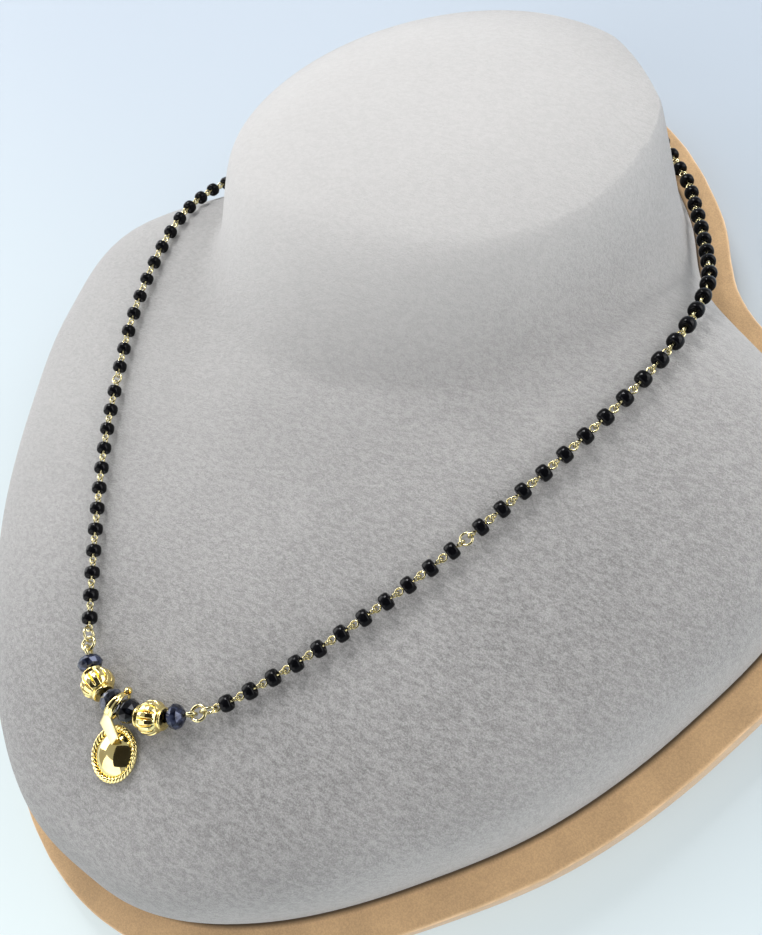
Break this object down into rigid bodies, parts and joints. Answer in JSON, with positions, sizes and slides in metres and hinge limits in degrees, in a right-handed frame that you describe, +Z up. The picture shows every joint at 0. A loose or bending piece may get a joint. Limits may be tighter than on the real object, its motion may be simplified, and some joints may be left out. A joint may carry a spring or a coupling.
{
  "type": "mangalsutra on a neck bust",
  "caption": "Short mangalsutra of black beads with crystals, fluted gold beads and a round domed pendant, laid round a low velvet neck bust.",
  "frame": {"origin": "middle of the board's underside, under the middle of its length and width", "axes": "+Z up off the board, +Y from the chest end to the neck end, +X across the board"},
  "size_m": [0.1948, 0.211, 0.055],
  "materials": {
    "suede": "napped tan suede",
    "velvet": "short warm light grey nap",
    "black_glass": "glossy opaque black",
    "wire_gold": "polished pale gold wire",
    "bright_gold": "polished yellow gold",
    "blue_crystal": "faceted blue grey",
    "grey_crystal": "faceted grey",
    "black_crystal": "faceted black"
  },
  "bodies": {
    "root": {"back_board": "suede", "neck_form": "velvet", "black_beads": "black_glass", "bead_wires": "wire_gold", "joining_rings": "wire_gold", "end_ring_left": "wire_gold", "end_ring_right": "wire_gold", "jump_ring_left": "wire_gold", "jump_ring_right": "wire_gold", "centre_wire": "wire_gold", "crystal_1": "blue_crystal", "crystal_2": "grey_crystal", "crystal_3": "black_crystal", "crystal_4": "blue_crystal", "gold_bead_left": "bright_gold", "gold_bead_right": "bright_gold", "pendant": "bright_gold", "clasp": "wire_gold"}
  },
  "joints": []
}
